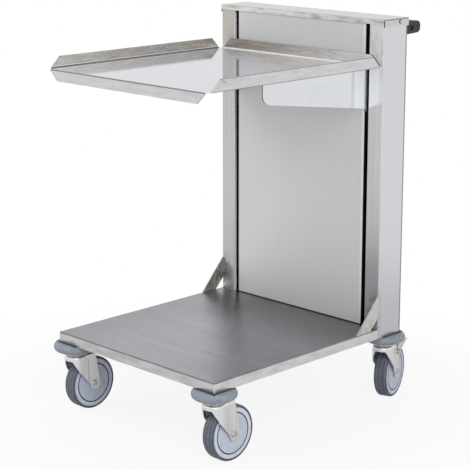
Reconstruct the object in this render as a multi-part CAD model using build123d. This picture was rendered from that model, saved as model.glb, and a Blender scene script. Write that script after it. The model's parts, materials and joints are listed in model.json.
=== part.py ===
from build123d import *
import math
import os

# Spring-lifted rack dispenser trolley in folded stainless sheet, sizes in millimetres.
# +Z is up and 0 is the floor, +Y points to the column at the back, X = 0 is the middle.

# Deck
deck_width = 512.0
deck_depth = 614.0  # front edge of the deck to the back of the column
deck_edge = 24.0
deck_lip = 18.0
sheet = 1.5
bend = 3.0  # outside radius of a fold

# Column
column_rise = 105.0  # above the tray's floor
column_depth = 83.0
upright_face = 42.5
upright_lip = 8.0
slot_width = 12.5
panel_recess = 1.2
panel_return = 10.0
panel_hook = 10.0  # top flange lying on the crossmember
cover_sheet = 1.2
cover_margin = 3.0
cap_lip = 12.0  # front and rear
cap_side_lip = 18.0
cap_clearance = 0.2
rivet_d = 4.8
rivet_head_d = 9.5
rivet_head_h = 1.8
rivet_below_top = 8.0
rivet_from_back = 28.0
gusset_reach = 73.0
gusset_height = 80.0
gusset_corner_cut = 27.0
gusset_sheet = 3.0

# Guide, springs and stops inside the column
rail_gap = 2.0  # roller to rail, front and back together
rail_depth = 30.0
rail_sheet = 2.0
crossmember_height = 24.0
crossmember_below_top = 11.5
cheek_from_arm = 26.25
spring_bar_d = 10.0
pull_bar_d = 12.0
pull_bar_above_pin = 23.7
spring_line = 10.5  # spring axes behind the middle of the rails
spring_count = 4
spring_from_cheek = 46.0
spring_d = 18.0
spring_wire = 2.0
buffer_d = 16.0
top_buffer_h = 26.0
low_buffer_h = 20.0

# Carriage, tray and travel
travel = 450.0
tray_gap = 2.5  # in front of the column
tray_overhang = 13.0  # in front of the deck
rim_up = 25.0
rim_down = 24.0
rim_corner_cut = 10.0
arm_sheet = 4.0
arm_reach = 339.0
arm_root = 99.0
arm_tip = 51.0
arm_tip_radius = 23.0
arm_flare_radius = 20.0
arm_drop = 41.2  # carriage plate below the arm's root
arm_setback = 6.0  # carriage plate behind the front of the column
arm_flange = 25.0
arm_flange_end = 14.0
stud_d = 6.0
stud_nut_d = 11.0
stud_nut_h = 5.0
plate_width = 58.0
tie_height = 40.0
tie_depth = 18.0
tie_sheet = 2.0
tie_line = 20.0  # front of the tie behind the front of the column
roller_d = 38.0
roller_width = 18.0
roller_edge = 2.0
roller_from_web = 5.5
roller_inset = 20.0  # roller axis from the end of the carriage plate
pin_d = 12.0
pin_collar_d = 17.0
pin_head_d = 20.0
pin_head_h = 4.0

# Handle
handle_reach = 66.0  # behind the column
handle_width = 25.0
handle_from_lip = 2.5  # bracket's inner side from the upright's lip
handle_top_gap = 13.0
handle_taper = 3.0
handle_edge = 2.0
bar_d = 22.0
bar_socket = 12.0
bar_rim = 4.0  # behind, above and below the bar
recess_length = 16.0
recess_width = 11.0
recess_depth = 3.0
recess_from_base = 30.0
screw_d = 6.0
screw_head_d = 11.0
screw_head_h = 4.0
handle_screw_grip = 14.0
handle_screw_rise = 9.0  # either side of the bracket's middle
handle_screw_clear = 2.0  # screw head beside the upright's lip
cover_screw_d = 4.0
cover_screw_head_d = 8.0
cover_screw_head_h = 2.2
cover_screw_grip = 6.0
cover_screw_rows = 4
cover_screw_inset = 20.0
cover_screw_low = 45.0  # above the deck's underside
cover_screw_high = 80.0  # below the top

# Castors
castor_inset = 26.0  # behind the deck's front edge
castor_rear_inset = 28.0  # ahead of the column's back
castor_offset = 4.75  # from the middle of the upright's face, inwards
castor_rest_turn = 18.0  # rear castors, in degrees
bumper_d = 100.0
bumper_h = 20.0
castor_plate = 4.0
castor_plate_size = 62.0
wheel_d = 125.0
wheel_width = 32.0
tyre_depth = 5.5
tyre_shoulder = 5.0
hub_face_inset = 1.0
hub_groove_inset = 10.0
hub_groove_w = 1.6
hub_groove_depth = 4.0
hub_boss_d = 24.0
trail = 40.0
wheel_gap = 11.2  # above the wheel
wheel_side_gap = 2.5
fork_sheet = 2.5
fork_flare = 5.0  # the hood's radius beyond the cheeks
fork_taper = 17.0  # from the hood in to the cheeks, in degrees
fork_edge = 6.0
fork_hood = 12.0
fork_mouth = 21.0  # ahead of the swivel axis, where the hood's edge turns down
fork_knee = 8.0  # ahead of the swivel axis, where the leg's front edge bends back
fork_knee_drop = 28.0
fork_crease = 5.0
fork_end_radius = 14.0
fork_top_behind = 2.0  # behind the axle
head_h = 10.0
head_top_d = 62.0
head_low_d = 50.0
kingpin_d = 12.0
kingpin_head_d = 22.0
kingpin_head_h = 8.0
kingpin_nut_h = 9.0
axle_d = 12.0
axle_head_d = 16.0
axle_head_h = 2.5
axle_head_edge = 1.0
axle_centre_d = 3.0
pedal_sheet = 2.0
pedal_gap = 0.6  # beside the fork
pedal_end_behind = 55.0
pedal_start_behind = 18.0
pedal_above_wheel = 5.0
pedal_pivot_behind = 4.0
pedal_pivot_below = 13.0  # under the top of the wheel
pedal_pivot_radius = 9.0
pedal_press = 10.0  # travel in degrees
pedal_pin_d = 8.0
pedal_pin_head_d = 12.0
pedal_pin_head_h = 1.5
shoe_length = 12.0
shoe_from_start = 4.0
shoe_half = 12.0
shoe_gap = 0.9  # left above the tyre when the pedal is down

# Clearances
running = 0.05  # radial, a pin in its turning hole
seat = 0.3  # beside a face that moves past
loose = 0.1  # radial, a bolt in a fixed hole

# Where the main faces lie
bumper_overhang = bumper_d / 2 - castor_inset
rest_turn = math.radians(castor_rest_turn)
wheel_reach = (trail + wheel_d / 2 - tyre_shoulder) * math.cos(rest_turn)
wheel_reach += (wheel_width / 2 - tyre_shoulder) * math.sin(rest_turn) + tyre_shoulder
rear_overhang = max(handle_reach, wheel_reach - castor_rear_inset)
whole_depth = bumper_overhang + deck_depth + rear_overhang
deck_front = bumper_overhang - whole_depth / 2
column_back = deck_front + deck_depth
column_front = column_back - column_depth
side = deck_width / 2
upright_inner = side - upright_face
panel_half = upright_inner - slot_width
crown_low = wheel_d + wheel_gap
crown_top = crown_low + fork_sheet
head_low = crown_top + seat
bumper_low = head_low + head_h
deck_under = bumper_low + bumper_h
deck_top = deck_under + deck_edge
plate_low = deck_top + low_buffer_h + travel + seat
tray_under = plate_low + arm_drop + arm_root
tray_top = tray_under + sheet
total_height = tray_top + column_rise
cap_under = total_height - sheet
cover_back = column_back + cover_sheet
rail_line = (column_front + column_back) / 2
rail_width = roller_d + rail_gap + 2 * rail_sheet
rail_web = side - sheet
rail_tip = rail_web - rail_depth
crossmember_top = total_height - crossmember_below_top
crossmember_low = crossmember_top - crossmember_height
tray_width = deck_width
tray_front = deck_front - tray_overhang
tray_back = column_front - tray_gap
tray_depth = tray_back - tray_front
arm_line = panel_half + slot_width / 2
arm_out = arm_line + arm_sheet / 2
arm_in = arm_line - arm_sheet / 2
plate_front = column_front + arm_setback
plate_back = plate_front + plate_width
plate_top = crossmember_top - rail_sheet - top_buffer_h - seat
cheek_line = arm_line - cheek_from_arm
spring_y = rail_line + spring_line
spring_top = crossmember_low + crossmember_height / 2 - rail_sheet
pull_bar_z = plate_low + roller_inset + pull_bar_above_pin
roller_out = rail_web - rail_sheet - roller_from_web
roller_in = roller_out - roller_width
roller_play = rail_gap / 2 - seat
handle_top = total_height - handle_top_gap
handle_low = handle_top - bar_d - 2 * bar_rim
handle_mid = (handle_top + handle_low) / 2
handle_in = upright_inner + handle_from_lip
handle_out = handle_in + handle_width
handle_back = column_back + handle_reach
bar_y = handle_back - bar_rim - bar_d / 2
bar_z = handle_mid + handle_taper / 2
axle_z = wheel_d / 2
castor_x = side - upright_face / 2 - castor_offset
castor_front = deck_front + castor_inset
castor_back = column_back - castor_rear_inset
fork_half = wheel_width / 2 + wheel_side_gap + fork_sheet
pedal_low = wheel_d + pedal_above_wheel
pedal_start = trail + pedal_start_behind
pedal_end = trail + pedal_end_behind
pedal_pivot_y = trail + pedal_pivot_behind
pedal_pivot_z = wheel_d - pedal_pivot_below
pedal_half = fork_half + pedal_gap + pedal_sheet


def block(x0, x1, y0, y1, z0, z1):
    middle = Pos((x0 + x1) / 2, (y0 + y1) / 2, (z0 + z1) / 2)
    return middle * Box(abs(x1 - x0), abs(y1 - y0), abs(z1 - z0))


def rod_x(x0, x1, y, z, diameter):
    return Pos((x0 + x1) / 2, y, z) * Rot(0, 90, 0) * Cylinder(diameter / 2, abs(x1 - x0))


def rod_y(x, y0, y1, z, diameter):
    return Pos(x, (y0 + y1) / 2, z) * Rot(90, 0, 0) * Cylinder(diameter / 2, y1 - y0)


def rod_z(x, y, z0, z1, diameter):
    return Pos(x, y, (z0 + z1) / 2) * Cylinder(diameter / 2, abs(z1 - z0))


def plate_yz(face, x0, x1):
    """A face drawn with Y across and Z up, thickened from x0 to x1."""
    return extrude(Plane.YZ.offset(min(x0, x1)) * face, abs(x1 - x0))


def turned(points):
    """A solid of revolution about Z from (radius, height) points."""
    return revolve(Plane.XZ * make_face(Polyline(*points, close=True)), Axis.Z)


def deck():
    outline = make_face(Polyline(
        (-side, deck_front), (side, deck_front), (side, column_front), (upright_inner, column_front),
        (upright_inner, column_back), (-upright_inner, column_back), (-upright_inner, column_front),
        (-side, column_front), close=True))

    def folded(inset, low, high, radius):
        face = offset(outline, -inset, kind=Kind.INTERSECTION) if inset else outline
        body = extrude(Plane.XY.offset(low) * face, high - low)
        front = body.edges().group_by(Axis.Y)[0]
        corners = front.filter_by(Axis.Z)
        across = front.filter_by(Axis.X).sort_by(Axis.Z)[-1:]
        sides = body.edges().filter_by(Axis.Y).group_by(Axis.Z)[-1]
        outer = [edge for edge in sides if abs(edge.center().X) > upright_inner]
        return fillet(corners + across + outer, radius)

    cavity = folded(sheet, deck_under + sheet, deck_top - sheet, bend - sheet)
    mouth = extrude(Plane.XY.offset(deck_under) * offset(outline, -deck_lip, kind=Kind.INTERSECTION), sheet)
    return folded(0, deck_under, deck_top, bend) - cavity - mouth


def screw_heights():
    low = deck_under + cover_screw_low
    step = (total_height - cover_screw_high - low) / (cover_screw_rows - 1)
    return [low + row * step for row in range(cover_screw_rows)]


def cover_screw_places():
    return [(hand * (side - cover_screw_inset), z) for hand in (-1, 1) for z in screw_heights()]


def handle_screw_places():
    x = upright_inner + sheet + screw_head_d / 2 + handle_screw_clear
    return [(hand * x, handle_mid + rise * handle_screw_rise) for hand in (-1, 1) for rise in (-1, 1)]


def rivet_place():
    return column_back - rivet_from_back, total_height - rivet_below_top


def upright(hand):
    profile = RectangleRounded(upright_face, column_depth, bend)
    profile -= RectangleRounded(upright_face - 2 * sheet, column_depth - 2 * sheet, bend - sheet)
    mouth = Rectangle(2 * sheet, column_depth - 2 * upright_lip)
    profile -= Pos(-hand * upright_face / 2, 0) * mouth
    middle = hand * (side - upright_face / 2)
    body = extrude(Pos(middle, rail_line, deck_under) * profile, cap_under - deck_under)
    y, z = rivet_place()
    body -= rod_x(hand * side - 2 * sheet, hand * side + 2 * sheet, y, z, rivet_d + 2 * loose)
    for x, z in cover_screw_places():
        body -= rod_y(x, column_back - 2 * sheet, column_back, z, cover_screw_d + 2 * loose)
    for x, z in handle_screw_places():
        body -= rod_y(x, column_back - 2 * sheet, column_back, z, screw_d + 2 * loose)
    return body


def front_panel():
    face = column_front + panel_recess
    flange = rail_line - rail_width / 2 + panel_hook
    top = crossmember_top + sheet
    body = block(-panel_half, panel_half, face, flange, deck_top, top)
    body = fillet(body.edges().group_by(Axis.Y)[0].filter_by(Axis.Z), bend)
    inner = panel_half - sheet
    body -= block(-inner, inner, face + sheet, flange, deck_top + sheet, top - sheet)
    keep = face + panel_return
    for hand in (-1, 1):
        x = hand * panel_half
        body -= block(x - bend, x + bend, keep, flange, deck_top, top)
    return body


def rear_cover():
    half = side - cover_margin
    body = block(-half, half, column_back, cover_back, deck_under + cover_margin, cap_under)
    for x, z in cover_screw_places():
        body -= rod_y(x, column_back, cover_back, z, cover_screw_d + 2 * loose)
    for x, z in handle_screw_places():
        body -= rod_y(x, column_back, cover_back, z, screw_d + 2 * loose)
    return body


def top_cap():
    inner_half = side + cap_clearance
    inner_front = column_front - cap_clearance
    inner_back = cover_back + cap_clearance
    low = total_height - cap_side_lip
    outer_half = inner_half + sheet
    body = block(-outer_half, outer_half, inner_front - sheet, inner_back + sheet, low, total_height)
    body = fillet(body.edges().group_by(Axis.Z)[-1] + body.edges().filter_by(Axis.Z), bend - sheet / 2)
    body -= block(-inner_half, inner_half, inner_front, inner_back, low, cap_under)
    body -= block(-inner_half, inner_half, inner_front - sheet, inner_back + sheet, low,
                  total_height - cap_lip)
    y, z = rivet_place()
    return body - rod_x(-side - bend, side + bend, y, z, rivet_d + 2 * loose)


def cap_rivets():
    y, z = rivet_place()
    face = side + cap_clearance + sheet
    tail = cap_clearance + 3 * sheet
    shank, head = rivet_d / 2, rivet_head_d / 2
    rivet = turned([(0, -tail), (shank, -tail), (shank, 0), (head, 0), (head, rivet_head_h / 3),
                    (head / 2, rivet_head_h), (0, rivet_head_h)])
    return [Pos(hand * face, y, z) * Rot(0, hand * 90, 0) * rivet for hand in (-1, 1)]


def gusset(hand):
    cut = gusset_corner_cut
    y, z = column_front, deck_top
    outline = Polyline((y - cut, z), (y - gusset_reach, z), (y, z + gusset_height), (y, z + cut), close=True)
    return plate_yz(make_face(outline), hand * (side - gusset_sheet), hand * side)


def guide_rail(hand):
    low, high = deck_top, crossmember_top
    front, back = rail_line - rail_width / 2, rail_line + rail_width / 2
    body = block(hand * rail_tip, hand * rail_web, front, back, low, high)
    return body - block(hand * rail_tip, hand * (rail_web - rail_sheet),
                        front + rail_sheet, back - rail_sheet, low, high)


def head_crossmember():
    front, back = rail_line - rail_width / 2, rail_line + rail_width / 2
    body = block(-rail_tip, rail_tip, front, back, crossmember_low, crossmember_top)
    body -= block(-rail_tip, rail_tip, front + rail_sheet, back - rail_sheet, crossmember_low,
                  crossmember_top - rail_sheet)
    for hand in (-1, 1):
        x = hand * cheek_line
        body += block(x - rail_sheet / 2, x + rail_sheet / 2, front, back, crossmember_low, crossmember_top)
    reach = cheek_line + rail_sheet
    return body - rod_x(-reach, reach, spring_y, spring_top, spring_bar_d + 2 * loose)


def spring_anchor_bar():
    reach = cheek_line + rail_sheet
    return rod_x(-reach, reach, spring_y, spring_top, spring_bar_d)


def spring_pull_bar():
    return rod_x(-arm_out, arm_out, spring_y, pull_bar_z, pull_bar_d)


def tension_springs():
    """Close-wound bodies with a ring at each end, hung on the two bars."""
    def eye_radius(bar):
        return bar / 2 + seat + spring_wire / 2

    def eye(x, z, bar, coil_end):
        loop = Pos(x, spring_y, z) * Rot(0, 90, 0) * Torus(eye_radius(bar), spring_wire / 2)
        foot = z + math.copysign(eye_radius(bar), coil_end - z)
        return loop + rod_z(x, spring_y, foot, coil_end, spring_wire)

    solids = []
    outermost = cheek_line - spring_from_cheek
    top = crossmember_low - 2 * spring_wire
    low = pull_bar_z + eye_radius(pull_bar_d) + 2 * spring_wire
    for index in range(spring_count):
        x = outermost * (2 * index / (spring_count - 1) - 1)
        coil = rod_z(x, spring_y, low - spring_wire / 2, top + spring_wire / 2, spring_d)
        coil -= rod_z(x, spring_y, low + spring_wire, top - spring_wire, spring_d - 2 * spring_wire)
        solids.append(coil + eye(x, spring_top, spring_bar_d, top) + eye(x, pull_bar_z, pull_bar_d, low))
    return solids


def upper_stop_buffers():
    top = crossmember_top - rail_sheet
    return [rod_z(hand * arm_line, rail_line, top - top_buffer_h, top, buffer_d) for hand in (-1, 1)]


def lower_stop_buffers():
    top = deck_top + low_buffer_h
    return [rod_z(hand * arm_line, rail_line, deck_top, top, buffer_d) for hand in (-1, 1)]


def roller_places():
    """Upper rollers bear on the front flange of the rail, lower ones on the rear flange."""
    upper = (rail_line - roller_play, plate_top - roller_inset)
    lower = (rail_line + roller_play, plate_low + roller_inset)
    return {"upper": upper, "lower": lower}


def carriage_arm(hand):
    tip = column_front - arm_reach
    root_low = tray_under - arm_root
    outline = make_face(Polyline(
        (tip, tray_under), (plate_front, tray_under), (plate_front, plate_top), (plate_back, plate_top),
        (plate_back, plate_low), (plate_front, plate_low), (plate_front, root_low),
        (tip, tray_under - arm_tip), close=True))

    def corner(y, z):
        return outline.vertices().sort_by_distance(Vector(y, z, 0))[0]

    outline = fillet(corner(tip, tray_under - arm_tip), arm_tip_radius)
    outline = fillet(corner(plate_front, root_low), arm_flare_radius)
    outline = fillet([corner(plate_back, plate_top), corner(plate_back, plate_low)], bend)
    body = plate_yz(outline, hand * arm_in, hand * arm_out)
    body += block(hand * (arm_in - arm_flange), hand * arm_in, tip + arm_flange_end,
                  column_front - arm_flange_end, tray_under - arm_sheet, tray_under)
    bore = hand * arm_line
    for y, z in roller_places().values():
        body -= rod_x(bore - arm_sheet, bore + arm_sheet, y, z, pin_d + 2 * loose)
    body -= rod_x(bore - arm_sheet, bore + arm_sheet, spring_y, pull_bar_z, pull_bar_d + 2 * loose)
    for y in stud_rows():
        x = hand * (arm_in - arm_flange / 2)
        body -= rod_z(x, y, tray_under - arm_sheet, tray_under, stud_d + 2 * loose)
    return body


def stud_rows():
    near = column_front - 2 * arm_flange
    far = column_front - arm_reach + 2 * arm_flange
    return [far, (near + far) / 2, near]


def tray_studs():
    """Welded studs under the tray, each with its nut below the arm's flange."""
    solids = []
    flange_low = tray_under - arm_sheet
    for hand in (-1, 1):
        x = hand * (arm_in - arm_flange / 2)
        for y in stud_rows():
            nut = Pos(x, y, flange_low - stud_nut_h) * RegularPolygon(stud_nut_d / 2, 6)
            shank = rod_z(x, y, flange_low - stud_nut_h - stud_d / 2, tray_under, stud_d)
            solids.append(extrude(nut, stud_nut_h) + shank)
    return solids


def carriage_tie():
    front = column_front + tie_line
    low = tray_under - tie_height / 2
    body = block(-arm_in, arm_in, front, front + tie_depth, low, low + tie_height)
    return body - block(-arm_in, arm_in, front + tie_sheet, front + tie_depth, low + tie_sheet,
                        low + tie_height - tie_sheet)


def roller_pins():
    """Shouldered pins through the carriage plates, each with a retaining ring outside its roller."""
    ring_end = roller_out + seat + sheet
    solids = []
    for hand in (-1, 1):
        for y, z in roller_places().values():
            pin = rod_x(hand * (arm_in - pin_head_h), hand * arm_in, y, z, pin_head_d)
            pin += rod_x(hand * arm_in, hand * ring_end, y, z, pin_d)
            pin += rod_x(hand * arm_out, hand * (roller_in - seat), y, z, pin_collar_d)
            pin += rod_x(hand * (roller_out + seat), hand * ring_end, y, z, pin_collar_d)
            solids.append(pin)
    return solids


def guide_roller(hand, level):
    y, z = roller_places()[level]
    body = rod_x(hand * roller_in, hand * roller_out, y, z, roller_d)
    body = chamfer(body.edges().filter_by(GeomType.CIRCLE), roller_edge)
    return body - rod_x(hand * roller_in, hand * roller_out, y, z, pin_d + 2 * running)


def tray_rim(length, height, way):
    """One folded rim along X with its outside at y = 0, turned up or down, ends cut at 45 degrees."""
    root = tray_under if way > 0 else tray_top
    tip = root + way * (height + sheet)
    inner = root + way * sheet
    foot = -2 * bend
    section = make_face(Polyline(
        (foot, root), (0, root), (0, tip), (-sheet, tip), (-sheet, inner), (foot, inner), close=True))
    section = fillet(section.vertices().sort_by_distance(Vector(0, root, 0))[0], bend)
    section = fillet(section.vertices().sort_by_distance(Vector(-sheet, inner, 0))[0], bend - sheet)
    half = length / 2 - rim_corner_cut
    body = plate_yz(section, -half, half)
    start = root + way * bend
    rise = abs(tip - start)
    for hand in (-1, 1):
        corner = Polyline((hand * half, start), (hand * (half - rise), tip), (hand * half, tip), close=True)
        body -= extrude(Plane.XZ * make_face(corner), 2 * bend, both=True)
    return body


def platform_tray():
    flat_x = tray_width / 2 - bend
    flat_y = tray_depth / 2 - bend
    middle = (tray_front + tray_back) / 2
    floor = extrude(Pos(0, middle, tray_under) * Rectangle(2 * flat_x, 2 * flat_y), sheet)
    floor = chamfer(floor.edges().filter_by(Axis.Z), rim_corner_cut - bend)
    body = floor + Pos(0, tray_back, 0) * tray_rim(tray_width, rim_up, 1)
    body += Pos(0, tray_front, 0) * Rot(0, 0, 180) * tray_rim(tray_width, rim_down, -1)
    for hand in (-1, 1):
        place = Pos(hand * tray_width / 2, middle, 0) * Rot(0, 0, -hand * 90)
        body += place * tray_rim(tray_depth, rim_up, 1)
    return body


def handle_bracket(hand):
    end = (handle_top - handle_low - handle_taper) / 2
    outline = make_face(Polyline(
        (cover_back, handle_low), (handle_back, handle_low + handle_taper), (handle_back, handle_top),
        (cover_back, handle_top), close=True))
    tips = outline.vertices().group_by(Axis.X)[-1]
    outline = fillet(tips, end - handle_edge)
    body = plate_yz(outline, hand * handle_in, hand * handle_out)
    outside = body.faces().sort_by(Axis.X)[-1 if hand > 0 else 0]
    free = [edge for edge in outside.edges() if edge.center().Y > cover_back + handle_edge]
    body = fillet(free, handle_edge)
    body -= rod_x(hand * handle_in, hand * (handle_in + bar_socket), bar_y, bar_z, bar_d + 2 * loose)
    oval = Pos(cover_back + recess_from_base, handle_mid) * SlotOverall(recess_length, recess_width)
    body -= plate_yz(oval, hand * (handle_out - recess_depth), hand * handle_out)
    for x, z in handle_screw_places():
        body -= rod_y(x, cover_back, cover_back + handle_screw_grip, z, screw_d + 2 * loose)
    return body


def handle_bar():
    reach = handle_in + bar_socket
    return rod_x(-reach, reach, bar_y, bar_z, bar_d)


def handle_screws():
    solids = []
    seat_y = column_back - sheet
    for x, z in handle_screw_places():
        head = rod_y(x, seat_y - screw_head_h, seat_y, z, screw_head_d)
        solids.append(head + rod_y(x, seat_y, cover_back + handle_screw_grip, z, screw_d))
    return solids


def rear_cover_screws():
    solids = []
    for x, z in cover_screw_places():
        head = rod_y(x, cover_back, cover_back + cover_screw_head_h, z, cover_screw_head_d)
        solids.append(head + rod_y(x, cover_back - cover_screw_grip, cover_back, z, cover_screw_d))
    return solids


def castor_places():
    return {
        "front_left": (-castor_x, castor_front, 0.0),
        "front_right": (castor_x, castor_front, 0.0),
        "rear_left": (-castor_x, castor_back, -castor_rest_turn),
        "rear_right": (castor_x, castor_back, castor_rest_turn),
    }


def at_castors(solid):
    return [Pos(x, y, 0) * solid for x, y, turn in castor_places().values()]


def bumper_discs():
    radius, edge = bumper_d / 2, bumper_h / 2
    flat = radius - edge
    core = Pos(flat, 0) * Circle(edge) + Pos(flat / 2, 0) * Rectangle(flat, bumper_h)
    half = core & Pos(radius / 2, 0) * Rectangle(radius, bumper_h)
    disc = revolve(Plane.XZ * Pos(0, bumper_low + edge) * half, Axis.Z)
    return at_castors(disc - rod_z(0, 0, bumper_low, deck_under, kingpin_d + 2 * loose))


def castor_plates():
    """Thick plates that take the castor bolts, in the deck's front corners and the uprights' feet."""
    solids = []
    wall = side - sheet
    for hand in (-1, 1):
        start = deck_front + sheet
        front = block(hand * wall, hand * (wall - castor_plate_size), start, start + castor_plate_size,
                      plate_top_at(castor_front) - castor_plate, plate_top_at(castor_front))
        back = block(hand * wall, hand * (upright_inner + sheet), column_front + sheet, column_back - sheet,
                     plate_top_at(castor_back) - castor_plate, plate_top_at(castor_back))
        for plate, y in ((front, castor_front), (back, castor_back)):
            plate = chamfer(plate.edges().filter_by(Axis.Z), bend)
            bore = rod_z(hand * castor_x, y, deck_under, plate_top_at(y), kingpin_d + 2 * loose)
            solids.append(plate - bore)
    return solids


def swivel_heads():
    head = turned([(0, head_low), (head_low_d / 2, head_low), (head_top_d / 2, head_low + head_h / 2),
                   (head_top_d / 2, bumper_low), (0, bumper_low)])
    return at_castors(head - rod_z(0, 0, head_low, bumper_low, kingpin_d + 2 * loose))


def plate_top_at(y):
    return deck_under + castor_plate + (sheet if y < 0 else 0)


def kingpins():
    """Bolts that hold the castors: the head is under the fork's crown."""
    solids = []
    for x, y, turn in castor_places().values():
        head_top = crown_low - seat
        hexagon = Pos(x, y, head_top - kingpin_head_h) * RegularPolygon(kingpin_head_d / 2, 6)
        shank = rod_z(x, y, head_top, plate_top_at(y) + kingpin_nut_h, kingpin_d)
        solids.append(extrude(hexagon, kingpin_head_h) + shank)
    return solids


def kingpin_nuts():
    solids = []
    for x, y, turn in castor_places().values():
        low = plate_top_at(y)
        nut = extrude(Pos(x, y, low) * RegularPolygon(kingpin_head_d / 2, 6), kingpin_nut_h)
        solids.append(nut - rod_z(x, y, low, low + kingpin_nut_h, kingpin_d + 2 * loose))
    return solids


def hood(radius, half, low, high, back, edge):
    """Solid cap: round in front, drawn in to two flat cheeks, with its top edge rounded."""
    turn = math.radians(fork_taper)
    side_x, side_y = radius * math.cos(turn), radius * math.sin(turn)
    crease = side_y + (side_x - half) / math.tan(turn)
    plan = make_face([
        ThreePointArc((-side_x, side_y), (0, -radius), (side_x, side_y)),
        Polyline((side_x, side_y), (half, crease), (half, back), (-half, back), (-half, crease),
                 (-side_x, side_y))])
    creases = plan.vertices().filter_by(lambda corner: abs(corner.Y - crease) < loose)
    plan = fillet(creases, fork_crease)
    body = extrude(Plane.XY.offset(low) * plan, high - low)
    top = body.edges().group_by(Axis.Z)[-1]
    return fillet([line for line in top if line.center().Y < back - loose], edge)


def fork():
    """Pressed hood with an open back, trimmed to the outline of its two legs."""
    start, end = trail - fork_end_radius, trail + fork_end_radius
    leg_low = axle_z - fork_end_radius
    radius = fork_half + fork_flare
    shell = hood(radius, fork_half, leg_low, crown_top, end, fork_edge)
    shell -= hood(radius - fork_sheet, fork_half - fork_sheet, leg_low, crown_low, end + fork_sheet,
                  fork_edge - fork_sheet)
    hood_low = crown_top - fork_hood
    trim = make_face(Polyline(
        (-radius, hood_low), (-radius, crown_top), (trail + fork_top_behind, crown_top), (end, axle_z),
        (end, leg_low), (start, leg_low), (start, axle_z), (-fork_knee, hood_low - fork_knee_drop),
        (-fork_mouth, hood_low), close=True))

    def corner(y, z):
        return trim.vertices().sort_by_distance(Vector(y, z, 0))[0]

    trim = fillet([corner(end, leg_low), corner(start, leg_low)], fork_end_radius - fork_sheet)
    trim = fillet([corner(-fork_mouth, hood_low), corner(-fork_knee, hood_low - fork_knee_drop)], fork_edge)
    shell = shell & plate_yz(trim, -radius, radius)
    shell -= rod_z(0, 0, crown_low, crown_top, kingpin_d + 2 * running)
    return shell - rod_x(-fork_half, fork_half, trail, axle_z, axle_d + 2 * loose)


def axle():
    reach = fork_half + axle_head_h
    shaft = rod_x(-reach, reach, trail, axle_z, axle_d)
    for hand in (-1, 1):
        head = rod_x(hand * fork_half, hand * reach, trail, axle_z, axle_head_d)
        shaft += chamfer(head.edges().sort_by(Axis.X)[-1 if hand > 0 else 0], axle_head_edge)
    for hand in (-1, 1):
        shaft -= rod_x(hand * fork_half, hand * reach, trail, axle_z, axle_centre_d)
    return shaft


def at_wheel(solid):
    """Turns a wheel made about Z on to its axle."""
    return Pos(0, trail, axle_z) * Rot(0, 90, 0) * solid


def hub():
    rim = wheel_d / 2 - tyre_depth - loose
    face = wheel_width / 2 - hub_face_inset
    boss = fork_half - fork_sheet - seat
    body = Cylinder(rim, 2 * face)
    body = fillet(body.edges().filter_by(GeomType.CIRCLE), hub_face_inset)
    body += Cylinder(hub_boss_d / 2, 2 * boss)
    ring = rim - hub_groove_inset
    groove = Cylinder(ring, hub_groove_depth) - Cylinder(ring - hub_groove_w, hub_groove_depth)
    for hand in (-1, 1):
        body -= Pos(0, 0, hand * (face - hub_groove_depth / 2)) * groove
    return at_wheel(body - Cylinder(axle_d / 2 + running, 2 * boss))


def tyre():
    body = Cylinder(wheel_d / 2, wheel_width)
    body = fillet(body.edges().filter_by(GeomType.CIRCLE), tyre_shoulder)
    return at_wheel(body - Cylinder(wheel_d / 2 - tyre_depth, wheel_width))


def shoe_low():
    """Height of the shoe that leaves its gap to the tyre once the pedal is pressed."""
    turn = math.radians(pedal_press)
    across, up = trail - pedal_pivot_y, axle_z - pedal_pivot_z
    wheel_y = pedal_pivot_y + across * math.cos(turn) - up * math.sin(turn)
    wheel_z = pedal_pivot_z + across * math.sin(turn) + up * math.cos(turn)
    ahead = pedal_start + shoe_from_start - wheel_y
    return wheel_z + math.sqrt((wheel_d / 2 + shoe_gap) ** 2 - ahead ** 2)


def brake_pedal():
    """Bent lever astride the fork, with a tread plate over the wheel and a shoe below it."""
    high = pedal_low + pedal_sheet
    pivot = (pedal_pivot_y, pedal_pivot_z)
    cheek = make_face(Polyline(
        (pedal_pivot_y - pedal_pivot_radius, pedal_pivot_z), (pedal_start, high), (pedal_end, high),
        (pedal_end, pedal_low), (pedal_pivot_y + pedal_pivot_radius, pedal_pivot_z), close=True))
    cheek += Pos(*pivot) * Circle(pedal_pivot_radius)
    inner = fork_half + pedal_gap
    body = block(-pedal_half, pedal_half, pedal_start, pedal_end, pedal_low, high)
    for hand in (-1, 1):
        body += plate_yz(cheek, hand * inner, hand * pedal_half)
    reach = pedal_half + sheet
    body -= rod_x(-reach, reach, *pivot, pedal_pin_d + 2 * running)
    body = fillet(body.edges().filter_by(Axis.Z).group_by(Axis.Y)[-1], pedal_sheet / 2)
    shoe = pedal_start + shoe_from_start
    return body + block(-shoe_half, shoe_half, shoe, shoe + shoe_length, shoe_low(), pedal_low)


def pedal_pins():
    y, z = pedal_pivot_y, pedal_pivot_z
    head = pedal_half + seat
    pin = rod_x(fork_half - fork_sheet, head, y, z, pedal_pin_d)
    pin += rod_x(head, head + pedal_pin_head_h, y, z, pedal_pin_head_d)
    return [pin, mirror(pin, Plane.YZ)]


def braked_fork():
    reach = fork_half + sheet
    return fork() - rod_x(-reach, reach, pedal_pivot_y, pedal_pivot_z, pedal_pin_d + 2 * loose)


def export(node, solids):
    solids = solids if isinstance(solids, list) else [solids]
    shapes = [solid for body in solids for solid in body.solids()]
    whole = shapes[0] if len(shapes) == 1 else Compound(children=shapes)
    export_step(whole, f"parts/{node}.step")


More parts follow.
